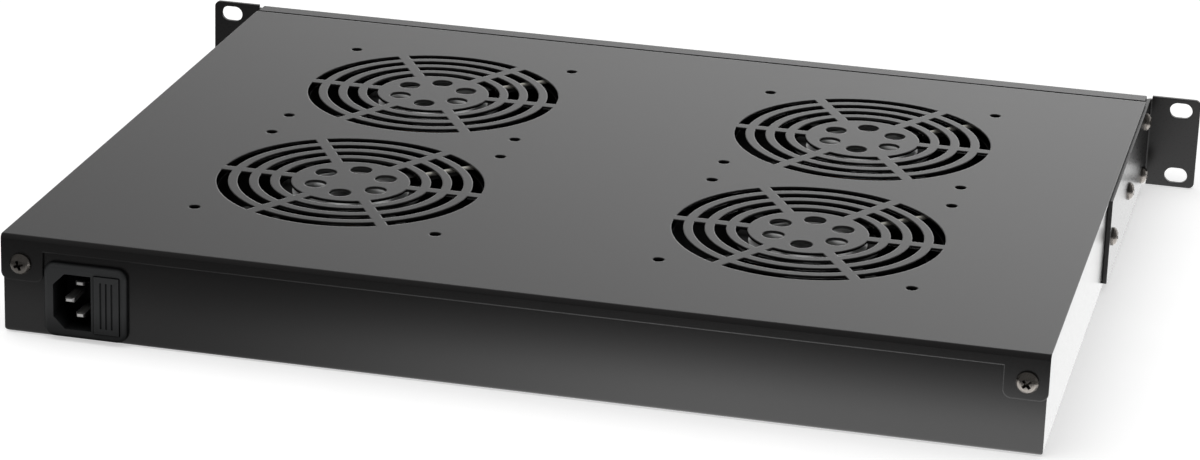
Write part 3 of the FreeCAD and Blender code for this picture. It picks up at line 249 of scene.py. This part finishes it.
def powder_coat(name, colours, roughness, edge, gloss=NEUTRAL_GLOSS, painted_shade_reach=0.0):
    """Satin polyester powder coat on folded steel: deep black, with a faint orange peel and
    edges that the coat has drawn round, so that they catch a thin line of light."""
    return surface(
        name, "ShaderNodeTexNoise", {"Scale": 1 / (1.4 * MM), "Detail": 3.0}, colours,
        roughness=(roughness - 0.03, roughness + 0.03), relief=(0.04, 0.05),
        look={"IOR": 1.55, "Specular IOR Level": gloss}, edge=edge, drift=60, painted_shade_reach=painted_shade_reach,
    )


def plated_metal(name, colours, roughness, metallic=1.0, painted_shade_reach=0.0):
    """Plated or bare metal: slightly cloudy, with a soft lustre from its fine grain."""
    return surface(
        name, "ShaderNodeTexNoise", {"Scale": 1 / (1.5 * MM), "Detail": 4.0}, colours,
        roughness=(roughness - 0.07, roughness + 0.07), relief=(0.1, 0.05),
        look={"Metallic": metallic}, painted_shade_reach=painted_shade_reach,
    )


def moulded_plastic(name, colours, roughness, grain, painted_shade_reach=0.0):
    """Moulded thermoplastic: an even tone with the fine grain of a spark-eroded mould."""
    return surface(
        name, "ShaderNodeTexNoise", {"Scale": 1 / (grain * MM), "Detail": 2.0}, colours,
        roughness=(roughness - 0.06, roughness + 0.06), relief=(0.3, 0.08),
        look={"IOR": 1.53}, edge=0.25, painted_shade_reach=painted_shade_reach,
    )


def soft_insulation(name, colours):
    """PVC insulation: a dull skin with a faint mottle."""
    return surface(
        name, "ShaderNodeTexNoise", {"Scale": 1 / (2.0 * MM), "Detail": 2.0}, colours,
        roughness=(0.39, 0.51), relief=(0.15, 0.05), look={"IOR": 1.53},
    )


COAT = powder_coat(
    "black_powder_coated_steel", ("151414", "191818"), roughness=0.24, edge=0.4
)
# The cover's cut edges are rounder than the tray's, so they catch a broader line.
COVER_COAT = powder_coat(
    "black_powder_coated_cover", ("151414", "191818"), roughness=0.24, edge=0.7
)
# The brackets are duller than the tray, and a shade lighter.
BRACKET_COAT = powder_coat(
    "black_powder_coated_bracket", ("171616", "1b1a1a"), roughness=0.28, edge=0.5, gloss=0.25
)
# Enamel on a casting looks duller still; painted shade darkens it between struts and walls.
CAST = powder_coat(
    "black_enamelled_die_cast_aluminium", ("0f0f0f", "151414"),
    roughness=0.42, edge=0.4, painted_shade_reach=40,
)
# Dark nickel mirrors in a brownish grey, and leaves the recess of a screw nearly black.
DARK_NICKEL = plated_metal(
    "dark_nickel_plated_screw_steel", ("6f6b67", "8b8681"), roughness=0.26
)
# Plain nickel is paler and slightly yellow.
NICKEL = plated_metal("nickel_plated_brass", ("b9b4a8", "d2cec4"), roughness=0.24)
# Bright zinc is a cool and duller grey.
ZINC = plated_metal("zinc_plated_steel", ("a0a3a6", "b6b9bb"), roughness=0.36)
# Ground steel is clean, neutral and the smoothest of the metals.
STEEL = plated_metal("ground_bearing_steel", ("a8a8a8", "c2c2c2"), roughness=0.22)
# Stamped ends of the pins scatter the light, and look bright in the socket's painted shade.
# Painted shade darkens the pins too where faces close in.
PINS = plated_metal(
    "bright_nickel_plated_pins", ("f4f2ee", "ffffff"), roughness=0.35, metallic=0.92, painted_shade_reach=6
)
# Foil label on the motor: its colour runs from grey to white in 5 mm patches, painted glints
# seen through the hub's holes, over a real crinkled relief.
FOIL = surface(
    "silver_polyester_foil", "ShaderNodeTexNoise", {"Scale": 1 / (5.0 * MM), "Detail": 2.0},
    ("b4b6b5", "ffffff"), roughness=(0.2, 0.5), relief=(0.7, 0.6),
    look={"Metallic": 0.0, "Coat Weight": 0.5},
)
# Stacked laminations under varnish show as level lines, drawn 1 mm apart so that they show.
LAMINATE = surface(
    "varnished_motor_laminations", "ShaderNodeTexWave",
    {"Scale": WAVE_SPACING / (1.0 * MM), "Distortion": 0.0}, ("3f3b36", "6b6660"),
    roughness=(0.42, 0.58), relief=(0.5, 0.1), look={"Metallic": 0.8}, bands_direction="Z",
)
# Copper wire in close turns: fine level ridges, drawn 0.6 mm apart so that they show.
COPPER = surface(
    "enamelled_copper_wire", "ShaderNodeTexWave",
    {"Scale": WAVE_SPACING / (0.6 * MM), "Distortion": 0.6, "Detail": 1.0},
    ("7a3c1c", "b5652f"), roughness=(0.27, 0.37), relief=(0.7, 0.15),
    look={"Metallic": 0.7, "Coat Weight": 0.4}, bands_direction="Z",
)
# The inlet's nylon has a grey bloom of glass fibre; painted shade darkens its socket inwards.
NYLON = moulded_plastic(
    "black_glass_filled_nylon", ("2c2d2e", "373839"), roughness=0.45, grain=0.8, painted_shade_reach=16
)
# The rocker is polished, and shows a soft highlight.
ROCKER = moulded_plastic(
    "black_polished_nylon_rocker", ("101010", "151515"), roughness=0.25, grain=1.5
)
# The blades are matt; painted shade darkens them between the frame's walls.
BLADES = moulded_plastic(
    "black_moulded_blade_polyester", ("0d0d0d", "141414"), roughness=0.42, grain=1.2, painted_shade_reach=30
)
PALE_LEAD = soft_insulation("pale_grey_pvc_insulation", ("c9c6bd", "dad7ce"))
BLACK_LEAD = soft_insulation("black_pvc_insulation", ("161616", "1e1e1e"))
BROWN_LEAD = soft_insulation("brown_pvc_insulation", ("5a3420", "653c26"))
BLUE_LEAD = soft_insulation("blue_pvc_insulation", ("2a5fae", "346bb8"))
# The earth lead's two colours run in slanting bands.
EARTH_LEAD = surface(
    "green_and_yellow_pvc_insulation", "ShaderNodeTexWave",
    {"Scale": WAVE_SPACING / (3.0 * MM), "Distortion": 0.0}, ("2f8a3c", "d9cf3a"),
    roughness=(0.39, 0.51), relief=(0.05, 0.05), look={"IOR": 1.53},
    bands_direction="DIAGONAL",
)
# Drawn soda glass: clear, with faint waves along the tube.
GLASS = surface(
    "drawn_fuse_glass", "ShaderNodeTexNoise", {"Scale": 1 / (4.0 * MM), "Detail": 1.0},
    ("e6efec", "f2f6f5"), roughness=(0.04, 0.08), relief=(0.1, 0.1),
    look={"IOR": 1.52, "Transmission Weight": 1.0},
)

FINISH = {
    "base_tray": COAT, "top_cover": COVER_COAT,
    "left_rack_bracket": BRACKET_COAT, "right_rack_bracket": BRACKET_COAT,
    "bracket_nuts": ZINC, "cover_nuts": ZINC,
    "earth_stud": ZINC, "earth_nuts": ZINC, "earth_lug": NICKEL,
    "terminal_block": NYLON, "terminal_screws": ZINC, "terminal_block_screw": ZINC,
    "inlet_body": NYLON, "inlet_pins": PINS,
    "fuse_drawer": NYLON, "fuse_glass": GLASS, "fuse_caps": NICKEL,
    "switch_body": NYLON, "switch_rocker": ROCKER, "switch_tags": NICKEL,
    "line_lead": BROWN_LEAD, "switched_lead": BLACK_LEAD, "neutral_lead": BLUE_LEAD,
    "earth_lead": EARTH_LEAD,
}
FAN_FINISH = {
    "frame": CAST, "rotor": BLADES, "shaft": STEEL, "bearings": STEEL,
    "stator": LAMINATE, "coils": COPPER, "label": FOIL, "lead": PALE_LEAD,
}
for number in FANS:
    for part, material in FAN_FINISH.items():
        FINISH["fan_%d_%s" % (number, part)] = material
for node, material in FINISH.items():
    for slot in NODES[node].material_slots:
        slot.material = material


# ---- Screws ---------------------------------------------------------------------------------
def screw_tree():
    """One cross-recessed screw on every point: each faces and is turned as its point says."""
    tree = bpy.data.node_groups.new("cross_recessed_screw", "GeometryNodeTree")
    tree.interface.new_socket("Places", in_out="INPUT", socket_type="NodeSocketGeometry")
    for name in PAN_SCREW:
        tree.interface.new_socket(name, in_out="INPUT", socket_type="NodeSocketFloat")
    tree.interface.new_socket("Material", in_out="INPUT", socket_type="NodeSocketMaterial")
    tree.interface.new_socket("Screws", in_out="OUTPUT", socket_type="NodeSocketGeometry")
    given = add(tree, "NodeGroupInput").outputs
    spot = add(tree, "GeometryNodeInputPosition")
    parts = add(tree, "ShaderNodeSeparateXYZ", {0: spot}).outputs
    level = add(tree, "ShaderNodeVectorMath", {0: spot, 1: (1.0, 1.0, 0.0)}, operation="MULTIPLY")
    out = add(tree, "ShaderNodeVectorMath", {0: level}, operation="LENGTH").outputs["Value"]
    values = {socket.name: socket for socket in given}
    values.update(x=parts[0], y=parts[1], z=parts[2], out=out)
    for name, first, operation, second in (
        # The head: a round plate whose top is crowned and whose foot narrows into its seat.
        ("radius", "Head Diameter", "MULTIPLY", 0.5),
        ("depth", "Edge Height", "ADD", "Seat Depth"),
        ("half depth", "depth", "MULTIPLY", 0.5),
        ("share", "out", "DIVIDE", "radius"),
        ("inner share", "share", "MINIMUM", 1.0),
        ("fall", "inner share", "POWER", CROWN_POWER),
        ("dome", 1.0, "SUBTRACT", "fall"),
        ("crown", "Crown Height", "MULTIPLY", "dome"),
        ("above", "z", "GREATER_THAN", 0.0),
        ("below", 1.0, "SUBTRACT", "above"),
        ("foot", "radius", "SUBTRACT", "Seat Depth"),
        ("narrowing", "foot", "DIVIDE", "radius"),
        ("narrow", "below", "MULTIPLY", "narrowing"),
        ("width", "above", "ADD", "narrow"),
        ("head x", "x", "MULTIPLY", "width"),
        ("head y", "y", "MULTIPLY", "width"),
        ("lift", "half depth", "SUBTRACT", "Seat Depth"),
        ("lifted", "z", "ADD", "lift"),
        ("crowned", "crown", "MULTIPLY", "above"),
        ("head z", "lifted", "ADD", "crowned"),
        ("top", "Edge Height", "ADD", "Crown Height"),
        # The shank, which starts halfway up the head's edge, or halfway down its seat.
        ("shank radius", "Shank Diameter", "MULTIPLY", 0.5),
        ("seat rise", "Edge Height", "SUBTRACT", "Seat Depth"),
        ("shank start", "seat rise", "MULTIPLY", 0.5),
        ("half shank", "Shank Length", "MULTIPLY", 0.5),
        ("shank middle", "shank start", "SUBTRACT", "half shank"),
        # The recess: two crossing blades that narrow downwards.
        ("blade width", "Recess Width", "MULTIPLY", BLADE_SHARE),
        ("blade height", "Recess Depth", "MULTIPLY", 2.0),
        ("sunk share", "z", "DIVIDE", "blade height"),
        ("slope", 1.0, "ADD", "sunk share"),
        ("blade x", "x", "MULTIPLY", "slope"),
        ("blade y", "y", "MULTIPLY", "slope"),
    ):
        values[name] = add(tree, "ShaderNodeMath", {
            0: values.get(first, first), 1: values.get(second, second)
        }, operation=operation)

    plate = add(tree, "GeometryNodeMeshCylinder", {
        "Vertices": HEAD_SIDES, "Side Segments": 1, "Fill Segments": HEAD_RINGS,
        "Radius": values["radius"], "Depth": values["depth"],
    }, fill_type="TRIANGLE_FAN")
    moved = add(tree, "ShaderNodeCombineXYZ", {
        "X": values["head x"], "Y": values["head y"], "Z": values["head z"]
    })
    head = add(tree, "GeometryNodeSetPosition", {"Geometry": plate, "Position": moved})
    shank = add(tree, "GeometryNodeMeshCylinder", {
        "Vertices": SHANK_SIDES, "Radius": values["shank radius"], "Depth": given["Shank Length"]
    })
    sunk = add(tree, "ShaderNodeCombineXYZ", {"Z": values["shank middle"]})
    shank = add(tree, "GeometryNodeTransform", {"Geometry": shank, "Translation": sunk})
    body = add(tree, "GeometryNodeMeshBoolean", {1: head}, operation="UNION", solver="EXACT")
    tree.links.new(shank.outputs[0], body.inputs[1])

    span = add(tree, "ShaderNodeCombineXYZ", {
        "X": given["Recess Width"], "Y": values["blade width"], "Z": values["blade height"]
    })
    blade = add(tree, "GeometryNodeMeshCube", {"Size": span})
    taper = add(tree, "ShaderNodeCombineXYZ", {
        "X": values["blade x"], "Y": values["blade y"], "Z": values["z"]
    })
    blade = add(tree, "GeometryNodeSetPosition", {"Geometry": blade, "Position": taper})
    rise = add(tree, "ShaderNodeCombineXYZ", {"Z": values["top"]})
    for turn in (0.0, math.pi / 2):
        cutter = add(tree, "GeometryNodeTransform", {
            "Geometry": blade, "Translation": rise, "Rotation": (0.0, 0.0, turn)
        })
        body = add(tree, "GeometryNodeMeshBoolean", {"Mesh 1": body, "Mesh 2": cutter},
                   operation="DIFFERENCE", solver="EXACT")

    facing = add(tree, "GeometryNodeInputNamedAttribute", {"Name": "facing"},
                 data_type="FLOAT_VECTOR")
    turned = add(tree, "FunctionNodeAlignRotationToVector", {"Vector": facing}, axis="Z")
    screws = add(tree, "GeometryNodeInstanceOnPoints", {
        "Points": given["Places"], "Instance": body, "Rotation": turned
    })
    turn = add(tree, "GeometryNodeInputNamedAttribute", {"Name": "turn"}, data_type="FLOAT")
    spin = add(tree, "ShaderNodeCombineXYZ", {"Z": turn})
    screws = add(tree, "GeometryNodeRotateInstances", {"Instances": screws, "Rotation": spin})
    screws = add(tree, "GeometryNodeRealizeInstances", {"Geometry": screws})
    fold = add(tree, "GeometryNodeInputMeshEdgeAngle")
    smooth = add(tree, "FunctionNodeCompare", {
        0: fold.outputs[0], 1: math.radians(SMOOTH_BELOW)
    }, operation="LESS_THAN", data_type="FLOAT")
    screws = add(tree, "GeometryNodeSetShadeSmooth", {
        "Geometry": screws, "Shade Smooth": smooth
    }, domain="EDGE")
    screws = add(tree, "GeometryNodeSetMaterial", {
        "Geometry": screws, "Material": given["Material"]
    })
    add(tree, "NodeGroupOutput", {"Screws": screws})
    return tree


def grown(name, tree, places, given):
    """Plain mesh object that a node tree grows on points, each with its direction and turn."""
    mesh = bpy.data.meshes.new(name)
    mesh.from_pydata([place for place, facing, turn in places], [], [])
    mesh.attributes.new("facing", "FLOAT_VECTOR", "POINT")
    mesh.attributes.new("turn", "FLOAT", "POINT")
    for index, (place, facing, turn) in enumerate(places):
        mesh.attributes["facing"].data[index].vector = facing
        mesh.attributes["turn"].data[index].value = math.radians(turn)
    piece = linked(bpy.data.objects.new(name, mesh))
    modifier = piece.modifiers.new(name, "NODES")
    modifier.node_group = tree
    for item in tree.interface.items_tree:
        if item.name in given:
            modifier[item.identifier] = given[item.name]
    graph = bpy.context.evaluated_depsgraph_get()
    result = bpy.data.meshes.new_from_object(piece.evaluated_get(graph), depsgraph=graph)
    piece.modifiers.remove(modifier)
    piece.data = result
    return piece


def screw_places(node, facing, head, turns):
    """Seat under the head of each of a CAD node's screws, with the way it faces and its turn.

    No facing means outwards along X, to the tray's nearer side.
    """
    places = []
    boxes = sorted(solids_of(node), key=lambda box: tuple(box[0]))
    for index, (low, high) in enumerate(boxes):
        out = facing or Vector((1 if low.x > 0 else -1, 0, 0))
        middle = (low + high) / 2
        axis = max(range(3), key=lambda i: abs(out[i]))
        middle[axis] = (high[axis] if out[axis] > 0 else low[axis]) - out[axis] * head
        places.append((middle, out, turns[index % len(turns)]))
    return places


def dress_screws():
    """Stands cross-recessed screws in the place of the CAD's plain ones."""
    tree = screw_tree()
    for node, facing, screw, metal, turns in (
        ("bracket_screws", None, PAN_SCREW, DARK_NICKEL, BRACKET_TURNS),
        ("cover_screws", Vector((0, 1, 0)), REAR_SCREW, DARK_NICKEL, COVER_TURNS),
        ("fan_screws", Vector((0, 0, -1)), FLAT_SCREW, ZINC, FAN_TURNS),
    ):
        given = {name: size * MM for name, size in screw.items()}
        head = given["Edge Height"] + given["Crown Height"]
        given["Material"] = metal
        places = screw_places(node, facing, head, turns)
        piece = grown("cross_recessed_" + node, tree, places, given)
        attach(piece, "chassis")
        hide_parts(node)


dress_screws()


# ---- Studio ---------------------------------------------------------------------------------
def studio_floor():
    """White paper that takes the tray's shadow. In gloss, its light falls off outwards. From
    below it is clear, so that the tray's underside shows."""
    material = bpy.data.materials.new("studio_floor_paper")
    tree = empty_tree(material)
    place = add(tree, "ShaderNodeTexCoord").outputs["Object"]
    ray = add(tree, "ShaderNodeLightPath").outputs
    grain = add(tree, "ShaderNodeTexNoise", {
        "Vector": place, "Scale": 1 / FLOOR_GRAIN, "Detail": 2.0
    })
    paper = add(tree, "ShaderNodeBsdfPrincipled", {
        "Base Color": add(tree, "ShaderNodeMix", {
            "Factor": grain, "A": linear("e9e9e9"), "B": linear("efefef")
        }, data_type="RGBA"),
        "Roughness": 0.9,
        "Emission Color": linear("ffffff"),
        "Emission Strength": add(tree, "ShaderNodeMath", {
            0: ray["Is Camera Ray"], 1: FLOOR_LIFT
        }, operation="MULTIPLY"),
    })
    # How far a point on the floor lies outside the tray's box.
    middle = (LOW + HIGH) / 2
    half = (HIGH - LOW) / 2
    away = place
    for operation, *others in (
        ("SUBTRACT", middle), ("ABSOLUTE",), ("SUBTRACT", (half.x, half.y, 1.0)),
        ("MAXIMUM", (0.0, 0.0, 0.0)), ("LENGTH",),
    ):
        away = add(tree, "ShaderNodeVectorMath", dict(enumerate((away, *others))),
                   operation=operation)
    # Painted pool of light: an emission that only gloss sees, fading away from the tray and
    # towards +X.
    pool = add(tree, "ShaderNodeMapRange", {
        "Value": away.outputs["Value"], **POOL
    }, interpolation_type="SMOOTHSTEP")
    across = add(tree, "ShaderNodeSeparateXYZ", {0: place}).outputs[0]
    side = add(tree, "ShaderNodeMapRange", {
        "Value": across, **SIDES
    }, interpolation_type="SMOOTHSTEP")
    strength = add(tree, "ShaderNodeMath", {0: pool, 1: side, 2: FAR_FLOOR},
                   operation="MULTIPLY_ADD")
    painted_floor_glow = add(tree, "ShaderNodeEmission", {"Color": linear("ffffff"), "Strength": strength})
    mirrored = add(tree, "ShaderNodeMath", {
        0: ray["Is Glossy Ray"], 1: ray["Is Transmission Ray"]
    }, operation="MAXIMUM")
    shader = add(tree, "ShaderNodeMixShader", {0: mirrored, 1: paper, 2: painted_floor_glow})
    below = add(tree, "ShaderNodeNewGeometry").outputs["Backfacing"]
    clear = add(tree, "ShaderNodeBsdfTransparent")
    shader = add(tree, "ShaderNodeMixShader", {0: below, 1: shader, 2: clear})
    add(tree, "ShaderNodeOutputMaterial", {"Surface": shader})

    shape = bmesh.new()
    bmesh.ops.create_grid(shape, x_segments=1, y_segments=1, size=FLOOR_REACH)
    bmesh.ops.translate(shape, verts=shape.verts, vec=(0, 0, LOW.z - FLOOR_GAP))
    mesh = bpy.data.meshes.new("studio_floor")
    shape.to_mesh(mesh)
    shape.free()
    mesh.materials.append(material)
    floor = linked(bpy.data.objects.new("studio_floor", mesh))


def studio_world():
    """White to the eye. In gloss, a soft glow low on the front side that dims away from it."""
    world = bpy.data.worlds.new("studio_world")
    bpy.context.scene.world = world
    tree = empty_tree(world)
    ray = add(tree, "ShaderNodeLightPath").outputs
    heading = add(tree, "ShaderNodeTexCoord").outputs["Generated"]
    toward = add(tree, "ShaderNodeVectorMath", {
        0: heading, 1: Vector(GLOW_HEADING).normalized()
    }, operation="DOT_PRODUCT").outputs["Value"]
    glow = add(tree, "ShaderNodeMapRange", {
        "Value": toward, **GLOW
    }, interpolation_type="SMOOTHSTEP")
    overhead = add(tree, "ShaderNodeMapRange", {
        "Value": toward, **OVERHEAD
    }, interpolation_type="SMOOTHSTEP")
    glow = add(tree, "ShaderNodeMath", {0: glow, 1: overhead}, operation="MULTIPLY")
    mirrored = add(tree, "ShaderNodeMath", {
        0: ray["Is Glossy Ray"], 1: ray["Is Transmission Ray"]
    }, operation="MAXIMUM")
    light = add(tree, "ShaderNodeMix", {
        "Factor": mirrored, "A": AMBIENT, "B": glow
    }, data_type="FLOAT")
    light = add(tree, "ShaderNodeMix", {
        "Factor": ray["Is Camera Ray"], "A": light, "B": 1.0
    }, data_type="FLOAT")
    shader = add(tree, "ShaderNodeBackground", {"Color": linear("ffffff"), "Strength": light})
    add(tree, "ShaderNodeOutputWorld", {"Surface": shader})


def studio_lamp():
    """One wide soft lamp overhead. Gloss mirrors the world's glow in its place."""
    lamp = bpy.data.lights.new("top_softbox", "AREA")
    lamp.shape = "RECTANGLE"
    lamp.size = lamp.size_y = LAMP_SIDE
    lamp.energy = LAMP_POWER
    holder = linked(bpy.data.objects.new("top_softbox", lamp))
    holder.location = LAMP_PLACE
    holder.visible_glossy = False
    holder.rotation_mode = "QUATERNION"
    ahead = Vector(LAMP_AIM) - Vector(LAMP_PLACE)
    holder.rotation_quaternion = ahead.to_track_quat("-Z", "Y")


def studio_camera():
    """Camera behind the tray and above it, on the side away from the inlet."""
    camera = bpy.data.cameras.new("camera")
    camera.sensor_width = CAMERA_SENSOR
    camera.lens = CAMERA_LENS
    camera.clip_start = CAMERA_NEAR
    camera.clip_end = CAMERA_FAR
    holder = linked(bpy.data.objects.new("camera", camera))
    roll = Matrix.Rotation(math.radians(CAMERA_ROLL), 3, "Z")
    turn = Vector(CAMERA_VIEW).to_track_quat("-Z", "Y").to_matrix() @ roll
    holder.matrix_world = Matrix.Translation(CAMERA_PLACE) @ turn.to_4x4()
    bpy.context.scene.camera = holder


studio_floor()
studio_world()
studio_lamp()
studio_camera()
bpy.context.scene.view_settings.view_transform = "Standard"
